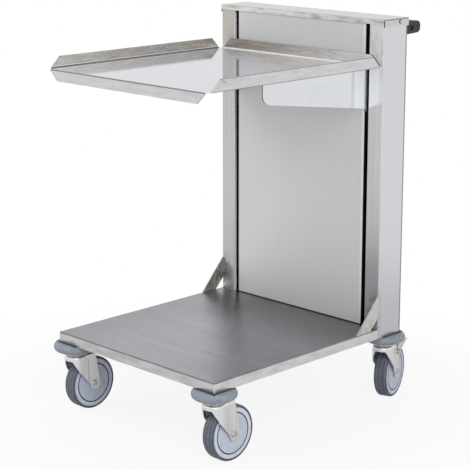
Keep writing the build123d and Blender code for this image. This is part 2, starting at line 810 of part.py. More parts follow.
def export_castor(corner, x, y, turn):
    place = Pos(x, y, 0) * Rot(0, 0, turn)
    braked = corner.startswith("rear")
    export(f"castor_fork_{corner}", place * (braked_fork() if braked else fork()))
    export(f"castor_axle_{corner}", place * axle())
    export(f"wheel_hub_{corner}", place * hub())
    export(f"wheel_tyre_{corner}", place * tyre())
    if braked:
        export(f"brake_pedal_{corner}", place * brake_pedal())
        export(f"brake_pins_{corner}", [place * pin for pin in pedal_pins()])


def main():
    os.makedirs("parts", exist_ok=True)
    export("base_deck", deck())
    export("front_panel", front_panel())
    export("rear_cover", rear_cover())
    export("rear_cover_screws", rear_cover_screws())
    export("top_cap", top_cap())
    export("cap_rivets", cap_rivets())
    export("head_crossmember", head_crossmember())
    export("spring_anchor_bar", spring_anchor_bar())
    export("tension_springs", tension_springs())
    export("upper_stop_buffers", upper_stop_buffers())
    export("lower_stop_buffers", lower_stop_buffers())
    export("handle_bar", handle_bar())
    export("handle_screws", handle_screws())
    export("bumper_discs", bumper_discs())
    export("castor_plates", castor_plates())
    export("swivel_heads", swivel_heads())
    export("kingpins", kingpins())
    export("kingpin_nuts", kingpin_nuts())
    export("platform_tray", platform_tray())
    export("tray_studs", tray_studs())
    export("carriage_tie", carriage_tie())
    export("spring_pull_bar", spring_pull_bar())
    export("roller_pins", roller_pins())
    for hand, name in ((-1, "left"), (1, "right")):
        export(f"upright_{name}", upright(hand))
        export(f"gusset_{name}", gusset(hand))
        export(f"guide_rail_{name}", guide_rail(hand))
        export(f"handle_bracket_{name}", handle_bracket(hand))
        export(f"carriage_arm_{name}", carriage_arm(hand))
        for level in roller_places():
            export(f"guide_roller_{level}_{name}", guide_roller(hand, level))
    for corner, place in castor_places().items():
        export_castor(corner, *place)


main()
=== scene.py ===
import json
import math

import bmesh
import bpy
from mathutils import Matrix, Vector


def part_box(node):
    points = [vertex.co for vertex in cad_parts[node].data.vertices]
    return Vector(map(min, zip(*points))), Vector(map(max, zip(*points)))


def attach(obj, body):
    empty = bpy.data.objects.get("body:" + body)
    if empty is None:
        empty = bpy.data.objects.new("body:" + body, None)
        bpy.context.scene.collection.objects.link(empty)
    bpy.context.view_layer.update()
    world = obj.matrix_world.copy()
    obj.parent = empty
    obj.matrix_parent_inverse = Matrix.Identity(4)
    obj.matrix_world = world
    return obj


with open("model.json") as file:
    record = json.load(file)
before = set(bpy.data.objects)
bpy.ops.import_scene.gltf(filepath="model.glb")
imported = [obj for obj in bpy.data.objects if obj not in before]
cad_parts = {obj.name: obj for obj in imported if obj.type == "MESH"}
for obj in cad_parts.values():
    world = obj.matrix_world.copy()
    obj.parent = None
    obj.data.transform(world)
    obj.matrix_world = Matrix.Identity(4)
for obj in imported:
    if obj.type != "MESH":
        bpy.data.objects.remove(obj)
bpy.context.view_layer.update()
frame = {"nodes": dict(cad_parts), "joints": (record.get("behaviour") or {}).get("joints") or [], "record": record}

# Main faces of the trolley from its nodes' boxes, in metres.
deck_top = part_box("base_deck")[1].z
deck_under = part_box("base_deck")[0].z
deck_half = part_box("base_deck")[1].x
deck_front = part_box("base_deck")[0].y
column_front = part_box("upright_right")[0].y
column_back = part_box("upright_right")[1].y
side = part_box("upright_right")[1].x
upright_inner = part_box("upright_right")[0].x
panel_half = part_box("front_panel")[1].x
panel_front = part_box("front_panel")[0].y
arm_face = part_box("carriage_arm_right")[1].x
cap_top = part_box("top_cap")[1].z
cap_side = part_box("top_cap")[1].x
tray_low, tray_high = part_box("platform_tray")

# Sizes that the boxes don't give, in metres.
rim_up = 0.025
rim_corner_cut = 0.010
tray_floor = tray_high.z - rim_up
sheet = 0.0015
skin = 0.0012  # just short of the sheet's thickness
bend = 0.003
face_depth = 0.0010  # what still counts as one face
gusset_sheet = 0.003
gusset_reach = 0.073
gusset_height = 0.080
gusset_corner_cut = 0.027
wheel_radius = 0.0625
wheel_top = 2 * wheel_radius
hub_ring_out = 0.0469
hub_ring_in = 0.0453
fork_crease = 0.0202  # behind the swivel axis
pedal_face = 0.0234  # just inside the outer face of a pedal's cheek

# Marks that several finishes share, as lengths along X, Y and Z in metres.
upright_grain = (0.0016, 0.0016, 0.25)
upright_lines = (0.0045, 0.0045, 0.60)
press_marks = (0.010, 0.010, 0.028)
oil_specks = (0.0018, 0.0018, 0.0018)
turned_rings = 0.0016  # from one ring to the next

# How far a mark fades at its edge, in metres.
plain_edge = 0.0003
sharp_edge = 0.0001
soft_edge = 0.0010

castor_corners = ("front_left", "front_right", "rear_left", "rear_right")
hands = ((-1, "left"), (1, "right"))
upward = Vector((0, 0, 1))


def tone(red, green, blue):
    """A colour as a screen shows it, 0 to 255, as the linear colour that a shader takes."""
    def linear(value):
        value = value / 255
        return value / 12.92 if value <= 0.04045 else ((value + 0.055) / 1.055) ** 2.4
    return linear(red), linear(green), linear(blue), 1.0


class Wire:
    """A shader socket that takes part in sums."""

    def __init__(self, nodes, socket):
        self.nodes = nodes
        self.socket = socket

    def __add__(self, other):
        return self.nodes.maths("ADD", self, other)

    def __radd__(self, other):
        return self.nodes.maths("ADD", other, self)

    def __sub__(self, other):
        return self.nodes.maths("SUBTRACT", self, other)

    def __rsub__(self, other):
        return self.nodes.maths("SUBTRACT", other, self)

    def __mul__(self, other):
        return self.nodes.maths("MULTIPLY", self, other)

    def __rmul__(self, other):
        return self.nodes.maths("MULTIPLY", other, self)


class Nodes:
    """The node tree of one finish, of the floor or of the world."""

    def __init__(self, tree):
        self.tree = tree
        tree.nodes.clear()

    def node(self, kind, settings=None, sockets=None, output=0):
        """Adds a node and gives one of its outputs, or a list of them where output is a tuple."""
        made = self.tree.nodes.new("ShaderNode" + kind)
        for name, value in (settings or {}).items():
            setattr(made, name, value)
        for name, value in (sockets or {}).items():
            if isinstance(value, Wire):
                self.tree.links.new(value.socket, made.inputs[name])
            else:
                made.inputs[name].default_value = value
        if isinstance(output, tuple):
            return [Wire(self, made.outputs[name]) for name in output]
        return Wire(self, made.outputs[output])

    def maths(self, operation, *values):
        return self.node("Math", {"operation": operation}, dict(enumerate(values)))

    def vectors(self, operation, *values, output="Vector"):
        return self.node("VectorMath", {"operation": operation}, dict(enumerate(values)), output)

    def place(self):
        """Where the surface is at rest, in the trolley's frame."""
        return self.node("TexCoord", output="Object")

    def axes(self, vector):
        return self.node("SeparateXYZ", None, {"Vector": vector}, ("X", "Y", "Z"))

    def size(self, value):
        return self.maths("ABSOLUTE", value)

    def either(self, first, second):
        return self.maths("MAXIMUM", first, second)

    def length(self, vector):
        return self.vectors("LENGTH", vector, output="Value")

    def wave(self, value, pitch):
        """Rises and falls between 0 and 1 with that pitch."""
        return self.maths("SINE", value * (2 * math.pi / pitch)) * 0.5 + 0.5

    def grain(self, vector, size, detail=2.0):
        """Noise whose blots are about that size along X, Y and Z."""
        scaled = self.vectors("MULTIPLY", vector, tuple(1 / length for length in size))
        return self.node("TexNoise", None, {"Vector": scaled, "Scale": 1.0, "Detail": detail})

    def step(self, value, start, end):
        """0 below start, 1 above end, smooth between them."""
        return self.node("MapRange", {"interpolation_type": "SMOOTHSTEP"},
                         {"Value": value, "From Min": start, "From Max": end})

    def above(self, value, edge, soft=plain_edge):
        return self.step(value, edge - soft, edge + soft)

    def below(self, value, edge, soft=plain_edge):
        return 1 - self.above(value, edge, soft)

    def between(self, value, low, high, soft=plain_edge):
        return self.above(value, low, soft) * self.below(value, high, soft)

    def blots(self, vector, size, low, high, detail=5.0):
        """Patches of about that size: 1 where the noise is above high, 0 below low."""
        return self.step(self.grain(vector, size, detail), low, high)

    def mix(self, factor, first, second):
        """One colour where factor is 0, the other where it is 1."""
        return self.node("Mix", {"data_type": "RGBA"}, {"Factor": factor, 6: first, 7: second}, 2)

    def relief(self, height, depth):
        """A normal from a height of 0 to 1, depth in metres."""
        return self.node("Bump", None, {"Distance": depth, "Height": height})

    def apart(self, start):
        return self.vectors("SUBTRACT", self.place(), start)

    def along(self, start, way):
        """How far the surface lies from start along a direction."""
        return self.vectors("DOT_PRODUCT", self.apart(start), way, output="Value")

    def about(self, centre, axis):
        """How far the surface lies from the axis through centre."""
        return self.length(self.vectors("CROSS_PRODUCT", self.apart(centre), axis))

    def surface(self, colour, roughness, **others):
        """Ends the tree in a surface; others are more of its sockets."""
        sockets = {"Base Color": colour, "Roughness": roughness, **others}
        self.out("OutputMaterial", self.node("BsdfPrincipled", None, sockets))

    def out(self, kind, shader):
        end = self.tree.nodes.new("ShaderNode" + kind)
        self.tree.links.new(shader.socket, end.inputs["Surface"])


def finish(name):
    """A new material and its empty node tree."""
    material = bpy.data.materials.new(name)
    material.use_nodes = True
    return material, Nodes(material.node_tree)


def joint_named(name):
    return next(joint for joint in frame["joints"] if joint["name"] == name)


def deck_brushed():
    """Dull top brushed from side to side with painted shade on its left and near the column on the right, a
    painted shade line along the fold, a pale edge with handling marks whose front face is painted darker as shade.
    """
    film, fold_depth = 0.0003, 0.0028  # below the top
    shade_start, shade_full = 0.26, 0.02  # in front of the column
    right_shade_start, right_shade_full = -0.22, -0.08  # along X
    left_shade_full, left_shade_end = -0.26, -0.06  # along X
    material, nodes = finish("deck_brushed")
    place = nodes.place()
    x, y, z = nodes.axes(place)
    top = nodes.above(z, deck_top - film, sharp_edge)
    # painted shade line along the fold just under the top
    fold = nodes.between(z, deck_top - fold_depth, deck_top - film, sharp_edge)
    front = nodes.below(y, deck_front + skin)
    streaks = nodes.blots(place, (0.09, 0.0040, 0.0040), 0.30, 0.70)
    hairlines = nodes.grain(place, (0.08, 0.0009, 0.0009))
    clouds = nodes.blots(place, (0.30, 0.035, 0.035), 0.30, 0.70)
    marks = nodes.blots(place, (0.05, 0.04, 0.012), 0.35, 0.70)
    # painted shade: darker on the left of the top, and much darker near the column on the right
    painted_shade_left = 1 - nodes.step(x, left_shade_full, left_shade_end)
    by_column = nodes.step(y, column_front - shade_start, column_front - shade_full)
    painted_shade_by_column = by_column * nodes.step(x, right_shade_start, right_shade_full)
    dull = nodes.mix(0.45 * streaks + 0.55 * clouds, tone(140, 140, 147), tone(155, 155, 163))
    # the painted shade on the left, then the painted shade near the column
    dull = nodes.mix(0.7 * painted_shade_left, dull, tone(128, 128, 134))
    dull = nodes.mix(0.9 * painted_shade_by_column, dull, tone(84, 83, 85))
    edge = nodes.mix(marks, tone(226, 226, 227), tone(213, 212, 211))
    # painted shade: the edge's front face is darker than its sides
    edge = nodes.mix(0.8 * front, edge, nodes.mix(marks, tone(208, 208, 209), tone(186, 185, 184)))
    # the fold's painted shade line on the edge, then the top over it
    colour = nodes.mix(top, nodes.mix(0.7 * fold, edge, tone(66, 65, 66)), dull)
    roughness = 0.185 - 0.015 * streaks + 0.04 * hairlines
    nodes.surface(colour, roughness, Metallic=1.0, Normal=nodes.relief(hairlines * top, 0.00030))
    return material


def upright_front(nodes, place, ground_and_lit_top, burnt_and_reflected):
    """Tone of the front: bright lines, painted shade on the right foot, a painted highlight over the tray on the
    right and a browner tone there on the left, stains over the tray, brown by the welds and deepened there as a
    painted reflection of the gusset.
    """
    right_shade_height = 0.40
    x, _, z = nodes.axes(place)
    left = nodes.below(x, 0)
    lines = nodes.grain(place, upright_lines)
    # painted shade on the right upright's foot
    painted_shade_right_foot = (1 - left) * (1 - nodes.step(z, deck_top, deck_top + right_shade_height))
    stains = nodes.blots(place, (0.014, 0.014, 0.030), 0.46, 0.74) * ground_and_lit_top
    face = nodes.mix(lines, tone(182, 182, 182), tone(206, 206, 205))
    face = nodes.mix(painted_shade_right_foot, face, tone(180, 180, 181))
    # painted highlight over the tray on the right; a browner tone there on the left
    face = nodes.mix(ground_and_lit_top, face, nodes.mix(left, tone(216, 216, 215), tone(188, 184, 178)))
    face = nodes.mix(0.5 * stains, face, tone(170, 161, 150))
    # brown by the welds, deepened as a painted reflection of the gusset
    return nodes.mix(burnt_and_reflected, face, tone(126, 120, 112))


def upright_flank(nodes, place, grain, soot):
    """Tone of the sides: fine grain, a sooty strip by the gusset, a dark seam at the back."""
    strip, fade_start, fade_end = 0.009, 0.005, 0.020
    x, y, z = nodes.axes(place)
    gusset_top = deck_top + gusset_height
    sooty = nodes.between(y, column_front + face_depth, column_front + strip, soft_edge)
    sooty = sooty * (1 - nodes.step(z, gusset_top + fade_start, gusset_top + fade_end))
    seam = nodes.above(y, column_back - 2 * bend) * nodes.above(nodes.size(x), side - bend)
    flank = nodes.mix(grain, tone(206, 207, 211), tone(212, 213, 216))
    flank = nodes.mix(sooty * (0.3 + 0.4 * soot), flank, tone(186, 184, 180))
    return nodes.mix(0.8 * seam, flank, tone(120, 120, 122))


def upright_satin():
    """Folded sheet: mirror-bright front with a painted highlight over the tray, stained at the top, browned by the
    welds and by a painted reflection of the gusset, plain sides, a painted highlight along the slot's lip and
    bend, and painted shade inside.
    """
    stain_start, stain_full = tray_floor - 0.01, tray_floor + 0.03
    scorch_reflection_full, scorch_reflection_end = deck_top + 0.060, deck_top + 0.105
    scorch_reflection_edge = side - 0.010
    material, nodes = finish("upright_satin")
    place = nodes.place()
    x, y, z = nodes.axes(place)
    out = nodes.size(x)
    front = nodes.below(y, column_front + face_depth)
    lip = nodes.below(out, upright_inner + skin / 2) * nodes.above(y, column_front + skin)
    inside = nodes.between(y, column_front + skin, column_back - skin)
    inside = inside * nodes.between(out, upright_inner + skin / 2, side - skin)
    over_tray = nodes.step(z, stain_start, stain_full)
    # the front over the tray: rougher, and painted lighter as a highlight
    ground_and_lit_top = over_tray * front
    # painted highlight along the bend at the slot, over the tray
    slot_bend_highlight = nodes.below(out, upright_inner + skin) * over_tray
    grain = nodes.grain(place, upright_grain, 3.0)
    soot = nodes.blots(place, (0.010, 0.010, 0.016), 0.38, 0.62)
    # weld heat tint and a painted reflection of the gusset, low on the front beside it
    scorch_and_reflection = 1 - nodes.step(z, scorch_reflection_full, scorch_reflection_end)
    scorch_and_reflection = scorch_and_reflection * nodes.step(out, upright_inner, scorch_reflection_edge)
    face = upright_front(nodes, place, ground_and_lit_top, scorch_and_reflection * (0.10 + 0.80 * soot))
    colour = nodes.mix(front, upright_flank(nodes, place, grain, soot), face)
    # painted highlight: the slot's lip and its bend painted near white
    colour = nodes.mix(nodes.either(lip, slot_bend_highlight), colour, tone(238, 237, 235))
    # painted shade: the upright's inside painted near black
    colour = nodes.mix(inside, colour, tone(30, 30, 30))
    roughness = 0.20 + 0.05 * grain + 0.13 * ground_and_lit_top + 0.14 * front * scorch_and_reflection * soot
    roughness = roughness + 0.4 * nodes.either(inside, lip)
    metal = 1 - 0.9 * lip - 0.3 * inside - 0.25 * front - 0.1 * ground_and_lit_top
    nodes.surface(colour, roughness, Metallic=metal, Normal=nodes.relief(grain, 0.00005))
    return material


def cover_satin():
    """Plain rear sheet with an upright grain, smears from wiping, and an inner face painted dark as shade."""
    film = 0.0004
    material, nodes = finish("cover_satin")
    place = nodes.place()
    outer = nodes.above(nodes.axes(place)[1], column_back + film, sharp_edge)
    grain = nodes.grain(place, upright_grain, 3.0)
    smears = nodes.blots(place, (0.14, 0.14, 0.07), 0.42, 0.72)
    colour = nodes.mix(grain, tone(196, 197, 199), tone(206, 207, 209))
    colour = nodes.mix(0.25 * smears, colour, tone(190, 189, 187))
    # painted shade: the inner face painted near black
    colour = nodes.mix(outer, tone(30, 30, 30), colour)
    roughness = 0.30 + 0.06 * grain + 0.05 * smears
    nodes.surface(colour, roughness, Metallic=0.9, Normal=nodes.relief(grain, 0.00006))
    return material


def gusset_scorched():
    """Offcut of plate, pale outside, mottled brown by the weld's heat on its inner face."""
    foot_full, foot_end = deck_top + 0.004, deck_top + 0.030
    material, nodes = finish("gusset_scorched")
    place = nodes.place()
    x, _, z = nodes.axes(place)
    inner = nodes.below(nodes.size(x), side - gusset_sheet / 2)
    mottle = nodes.blots(place, (0.009, 0.009, 0.018), 0.34, 0.66)
    stain = nodes.blots(place, (0.012, 0.012, 0.012), 0.40, 0.66)
    foot = 1 - nodes.step(z, foot_full, foot_end)
    outside = nodes.mix(stain * (0.15 + 0.5 * foot), tone(214, 212, 207), tone(156, 149, 140))
    inside = nodes.mix(mottle, tone(228, 225, 220), tone(152, 147, 140))
    inside = nodes.mix(0.5 * foot, inside, tone(238, 235, 228))
    nodes.surface(nodes.mix(inner, outside, inside), 0.26 + 0.14 * mottle * inner, Metallic=0.9,
                  Normal=nodes.relief(mottle * inner, 0.00008))
    return material


def cap_satin():
    """Bright top, front lip with soft brown handling marks, dark open seams at the corners, and a painted shade
    line along the fold of each end.
    """
    film, fold_depth, seam_width = 0.0008, 0.0030, 0.0012
    front_film, seam_film = 0.0002, 0.0006  # behind the column's front
    material, nodes = finish("cap_satin")
    place = nodes.place()
    x, y, z = nodes.axes(place)
    out = nodes.size(x)
    top = nodes.above(z, cap_top - film)
    end = nodes.above(out, cap_side - film)
    front = nodes.below(y, column_front + front_film)
    # painted shade line just under the top on each end
    fold = end * nodes.between(z, cap_top - fold_depth, cap_top - film)
    seam = nodes.above(out, cap_side - seam_width) * nodes.below(y, column_front + seam_film)
    seam = seam * nodes.below(z, cap_top - fold_depth)
    grain = nodes.grain(place, (0.20, 0.0014, 0.0014), 3.0)
    marks = nodes.blots(place, (0.040, 0.02, 0.010), 0.40, 0.70)
    clean = nodes.mix(grain, tone(179, 181, 185), tone(185, 187, 191))
    clean = nodes.mix(end * (1 - top), clean, tone(200, 200, 203))
    marked = nodes.mix(0.7 * marks, tone(217, 216, 213), tone(170, 162, 152))
    colour = nodes.mix(front * (1 - top), clean, marked)
    # dark open seams, and the painted shade line along each end's fold
    colour = nodes.mix(nodes.either(seam, 0.6 * fold), colour, tone(52, 50, 48))
    roughness = 0.20 + 0.05 * grain + 0.08 * marks * front
    nodes.surface(colour, roughness, Metallic=1.0, Normal=nodes.relief(grain, 0.00005))
    return material


def panel_satin():
    """Dull satin sheet with an upright grain, a painted highlight down its right fold, painted shade down its left
    fold, painted shade towards the top, and its foot line and return painted dark as shade.
    """
    fold_start, fold_end, left_shade_width = 0.0055, 0.0012, 0.004  # in from the panel's sides
    foot_line, return_depth = 0.0020, 0.0026
    material, nodes = finish("panel_satin")
    place = nodes.place()
    x, y, z = nodes.axes(place)
    fold = nodes.between(x, panel_half - fold_start, panel_half - fold_end, soft_edge)
    painted_shade_left_fold = nodes.below(x, left_shade_width - panel_half, 2 * soft_edge)
    foot = nodes.below(z, deck_top + foot_line)
    behind = nodes.above(y, panel_front + return_depth, 2 * plain_edge)
    painted_shade_upward = nodes.step(z, deck_top, cap_top)
    grain = nodes.grain(place, (0.0014, 0.0014, 0.30), 3.0)
    lines = nodes.grain(place, upright_lines)
    clouds = nodes.grain(place, (0.20, 0.20, 0.26), 3.0)
    colour = nodes.mix(0.5 * clouds + 0.5 * lines, tone(211, 211, 211), tone(225, 225, 224))
    # painted shade: darker towards the top
    colour = nodes.mix(0.4 * painted_shade_upward, colour, tone(188, 188, 189))
    # painted highlight down the right fold
    colour = nodes.mix(0.7 * fold, colour, tone(228, 229, 230))
    # painted shade down the left fold
    colour = nodes.mix(0.6 * painted_shade_left_fold, colour, tone(176, 176, 176))
    # painted shade: the foot line and the return behind the face painted near black
    colour = nodes.mix(nodes.either(foot, behind), colour, tone(34, 34, 34))
    nodes.surface(colour, 0.44 + 0.06 * grain, Metallic=0.5, Normal=nodes.relief(grain, 0.00006))
    return material


def rim_tones(nodes, place, smears, inward, back):
    """Satin rims: greyer outside, browner at the back, and there painted paler towards the right as a painted
    reflection.
    """
    reflection_start, reflection_full = -0.12, 0.20  # along X
    # painted reflection: the back rim paler towards the right
    painted_reflection_rightward = nodes.step(nodes.axes(place)[0], reflection_start, reflection_full)
    outer = nodes.mix(smears, tone(208, 208, 209), tone(196, 196, 196))
    inner = nodes.mix(smears, tone(224, 220, 215), tone(203, 198, 191))
    stained = nodes.mix(smears, tone(198, 193, 187), tone(170, 164, 156))
    paler = nodes.mix(smears, tone(228, 226, 223), tone(208, 205, 201))
    return nodes.mix(inward, outer, nodes.mix(back, inner, nodes.mix(painted_reflection_rightward, stained, paler)))


def rim_edges(nodes, place, outside):
    """Dark lines on the side rims' outer faces: top edge, underside as painted shade, and the hem at the near end.
    """
    edge_line, under_line = 0.0012, 0.0014
    hem_half, hem_depth, hem_slope = 0.0009, 0.010, 0.7
    x, y, z = nodes.axes(place)
    top = nodes.above(z, tray_high.z - edge_line) * outside
    # painted shade: a dark line along the underside at the bend
    under = nodes.below(z, tray_floor - sheet + under_line)
    under = under * nodes.above(nodes.size(x), tray_high.x - bend)
    hem_start = tray_low.y + rim_corner_cut + rim_up
    hem = nodes.between(hem_slope * (y - hem_start) + (z - tray_high.z), -hem_half, hem_half)
    hem = hem * nodes.above(z, tray_high.z - hem_depth) * outside
    return nodes.either(nodes.either(top, under), hem)


def tray_polished():
    """Mirror floor; rims of smeared satin with a painted highlight line at the foot, a painted shade line in the
    bend below it, and a painted shade line at the front fold.
    """
    crease_low, crease_high = tray_floor + 0.0003, tray_floor + 0.0020
    fold_low, fold_high = tray_floor - 0.0030, tray_floor - 0.0004
    bright_line, bright_start, bright_lift = 0.0020, 0.0004, 0.0016
    material, nodes = finish("tray_polished")
    place = nodes.place()
    x, y, z = nodes.axes(place)
    raised = nodes.above(z, tray_floor + skin)
    rim = nodes.either(raised, nodes.below(z, tray_floor - sheet - face_depth))
    outside = nodes.above(nodes.size(x), tray_high.x - sheet / 2)
    back = nodes.above(y, tray_high.y - 2 * bend) * (1 - outside)
    # painted highlight: a bright line at the foot of the rims
    foot_low = tray_floor + bright_start + bright_lift * (1 - back)
    foot = nodes.between(z - foot_low, 0.0, bright_line) * (1 - outside)
    # painted shade: a dark line in the bend just above the floor
    crease = nodes.between(z, crease_low, crease_high) * (1 - back) * (1 - outside)
    # painted shade: a dark line along the front fold under the floor
    fold = nodes.between(z, fold_low, fold_high) * nodes.below(y, tray_low.y + bend)
    smears = nodes.blots(place, (0.040, 0.040, 0.005), 0.34, 0.72)
    haze = nodes.grain(place, (0.10, 0.10, 0.10), 3.0)
    grain = nodes.grain(place, (0.12, 0.12, 0.0012), 3.0)
    mirror = nodes.mix(haze, tone(184, 186, 193), tone(189, 191, 198))
    colour = nodes.mix(rim, mirror, rim_tones(nodes, place, smears, raised * (1 - outside), back))
    # the painted highlight line at the foot
    colour = nodes.mix(foot, colour, tone(244, 241, 234))
    # painted shade lines at the crease, the front fold and the rims' underside, with the dark top edge and hem
    # lines
    dark = nodes.either(crease, 0.7 * nodes.either(fold, rim_edges(nodes, place, outside)))
    colour = nodes.mix(dark, colour, tone(84, 81, 78))
    roughness = 0.055 + 0.02 * haze + rim * (0.16 + 0.06 * smears)
    nodes.surface(colour, roughness, Metallic=0.40 + 0.60 * rim - 0.5 * foot,
                  Normal=nodes.relief(grain * rim, 0.00005))
    return material


def arm_polished():
    """Polished plate, finger-marked, with a paler painted reflection band by the column, dark at the cut edge, and
    painted dark as shade inside the column.
    """
    strip, cut_start, cut_end = 0.0425, 0.0034, 0.0006
    material, nodes = finish("arm_polished")
    place = nodes.place()
    x, y, _ = nodes.axes(place)
    # painted shade: the part inside the column painted near black
    shaded_in_column = nodes.above(y, column_front + 2 * face_depth, soft_edge)
    # painted reflection: a paler band where the plate nears the column
    painted_reflection_strip = nodes.above(y, column_front - strip)
    cut = nodes.between(nodes.size(x), arm_face - cut_start, arm_face - cut_end)
    lines = nodes.grain(place, (0.002, 0.002, 0.06), 3.0)
    marks = nodes.blots(place, (0.05, 0.05, 0.03), 0.45, 0.75)
    colour = nodes.mix(marks, tone(217, 219, 222), tone(214, 216, 219))
    colour = nodes.mix(painted_reflection_strip, colour, tone(234, 237, 243))
    colour = nodes.mix(cut, colour, tone(62, 61, 60))
    colour = nodes.mix(shaded_in_column, colour, tone(26, 26, 26))
    roughness = 0.05 + 0.02 * lines + 0.03 * marks + 0.5 * shaded_in_column
    nodes.surface(colour, roughness, Metallic=1.0, Normal=nodes.relief(lines, 0.00002))
    return material


def guide_mill():
    """Mill-finish steel out of sight, painted dark as shade, with patches of scale."""
    material, nodes = finish("guide_mill")
    scale = nodes.blots(nodes.place(), (0.010, 0.010, 0.030), 0.35, 0.65)
    # painted shade: dark tones for steel inside the column
    colour = nodes.mix(scale, tone(96, 95, 94), tone(70, 68, 66))
    nodes.surface(colour, 0.38 + 0.20 * scale, Metallic=0.9, Normal=nodes.relief(scale, 0.00010))
    return material


def fastener_bright():
    """Small turned and rolled parts: bright, with oil-dark specks."""
    material, nodes = finish("fastener_bright")
    specks = nodes.blots(nodes.place(), oil_specks, 0.52, 0.70, 4.0)
    colour = nodes.mix(specks, tone(206, 205, 203), tone(138, 134, 128))
    nodes.surface(colour, 0.20 + 0.20 * specks, Metallic=1.0, Normal=nodes.relief(specks, 0.00006))
    return material


def rivet_domed():
    """Pale dome with a dark gap round it."""
    gap_width = 0.0017
    material, nodes = finish("rivet_domed")
    low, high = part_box("cap_rivets")
    radius = nodes.about((low + high) / 2, (1, 0, 0))
    gap = nodes.above(radius, (high.z - low.z) / 2 - gap_width)
    specks = nodes.blots(nodes.place(), oil_specks, 0.52, 0.70)
    dome = nodes.mix(0.4 * specks, tone(214, 213, 210), tone(150, 147, 142))
    nodes.surface(nodes.mix(gap, dome, tone(44, 43, 42)), 0.22 + 0.15 * specks, Metallic=1.0)
    return material


def spring_wound():
    """Close-wound wire: one ridge for each turn, with painted shade between the turns."""
    wire = 0.002
    material, nodes = finish("spring_wound")
    place = nodes.place()
    turns = nodes.wave(nodes.axes(place)[2], wire)
    oil = nodes.grain(place, (0.02, 0.02, 0.04), 3.0)
    ridge = nodes.mix(oil, tone(150, 150, 152), tone(174, 174, 175))
    # painted shade: dark between the turns
    colour = nodes.mix(turns, tone(66, 66, 68), ridge)
    nodes.surface(colour, 0.30 + 0.15 * oil, Metallic=1.0, Normal=nodes.relief(turns, 0.0008))
    return material


def fork_pressed(corner):
    """Bright pressed steel with soft press marks, a painted shade line down the crease of each cheek, darker
    upright bands behind it as a painted reflection, and dust low on the legs.
    """
    crease_half = 0.0006
    dust_full, dust_end = wheel_radius - 0.010, wheel_radius + 0.030
    material, nodes = finish("fork_pressed_" + corner)
    place = nodes.place()
    z = nodes.axes(place)[2]
    across = joint_named(f"wheel_{corner}_spin")["axis"]
    swivel = joint_named(f"castor_{corner}_swivel")["pos_m"]
    behind = nodes.along(swivel, (-across[1], across[0], 0))
    # painted shade line along the crease down each cheek
    crease = nodes.between(behind, fork_crease - crease_half, fork_crease + crease_half)
    crease = crease * nodes.below(z, wheel_top)
    dust = 1 - nodes.step(z, dust_full, dust_end)
    press = nodes.grain(place, press_marks, 3.0)
    specks = nodes.blots(place, (0.003, 0.003, 0.005), 0.55, 0.75)
    # painted reflection: darker upright bands behind the crease
    rolled = nodes.blots(place, (0.0035, 0.0035, 0.12), 0.40, 0.64) * nodes.above(behind, fork_crease)
    clean = nodes.mix(press, tone(226, 226, 226), tone(240, 240, 240))
    clean = nodes.mix(0.32 * rolled, clean, tone(172, 170, 166))
    colour = nodes.mix(0.2 * dust + 0.25 * specks, clean, tone(194, 192, 188))
    colour = nodes.mix(0.7 * crease, colour, tone(96, 94, 91))
    roughness = 0.14 + 0.06 * press + 0.05 * dust
    nodes.surface(colour, roughness, Metallic=1.0, Normal=nodes.relief(press, 0.00020))
    return material


def swivel_turned():
    """Bright turned heads over the forks, with fine rings and grease at the race."""
    material, nodes = finish("swivel_turned")
    place = nodes.place()
    grease = nodes.blots(place, (0.006, 0.006, 0.003), 0.40, 0.65)
    rings = nodes.wave(nodes.axes(place)[2], turned_rings)
    colour = nodes.mix(0.7 * grease, tone(196, 196, 195), tone(84, 83, 82))
    nodes.surface(colour, 0.20 + 0.15 * grease, Metallic=1.0, Normal=nodes.relief(rings, 0.00006))
    return material


def pedal_pressed():
    """Bright lever, dulled where shoes tread on it."""
    tread_start, tread_full = wheel_top + 0.0060, wheel_top + 0.0068
    material, nodes = finish("pedal_pressed")
    place = nodes.place()
    tread = nodes.step(nodes.axes(place)[2], tread_start, tread_full)
    scuffs = tread * nodes.blots(place, (0.010, 0.0018, 0.010), 0.45, 0.65, 4.0)
    press = nodes.grain(place, press_marks, 3.0)
    clean = nodes.mix(press, tone(212, 211, 208), tone(228, 227, 224))
    colour = nodes.mix(scuffs, clean, tone(150, 146, 139))
    roughness = 0.18 + 0.08 * press + 0.20 * scuffs
    nodes.surface(colour, roughness, Metallic=1.0, Normal=nodes.relief(press, 0.00025))
    return material


def bumper_moulded():
    """Grey bumper with a fine moulded grain, rub marks round its edge and a painted contact shadow on top under
    the deck's edge.
    """
    shadow_reach, shadow_depth = 0.006, 0.0012  # out from the deck, and below it
    material, nodes = finish("bumper_moulded")
    place = nodes.place()
    x, y, z = nodes.axes(place)
    # painted contact shadow on the top, under the deck's edge
    painted_contact_shadow = nodes.above(z, deck_under - shadow_depth)
    painted_contact_shadow = painted_contact_shadow * nodes.below(nodes.size(x), deck_half + shadow_reach)
    painted_contact_shadow = painted_contact_shadow * nodes.above(y, deck_front - shadow_reach)
    pores = nodes.grain(place, (0.0010, 0.0010, 0.0010), 3.0)
    rubs = nodes.blots(place, (0.030, 0.030, 0.0035), 0.50, 0.70)
    scuffs = nodes.blots(place, (0.014, 0.014, 0.006), 0.48, 0.72)
    colour = nodes.mix(0.5 * rubs, tone(134, 141, 153), tone(154, 161, 171))
    colour = nodes.mix(0.45 * scuffs, colour, tone(100, 105, 114))
    colour = nodes.mix(painted_contact_shadow, colour, tone(34, 36, 40))
    nodes.surface(colour, 0.42 + 0.10 * pores + 0.08 * rubs, Normal=nodes.relief(pores, 0.00008))
    return material


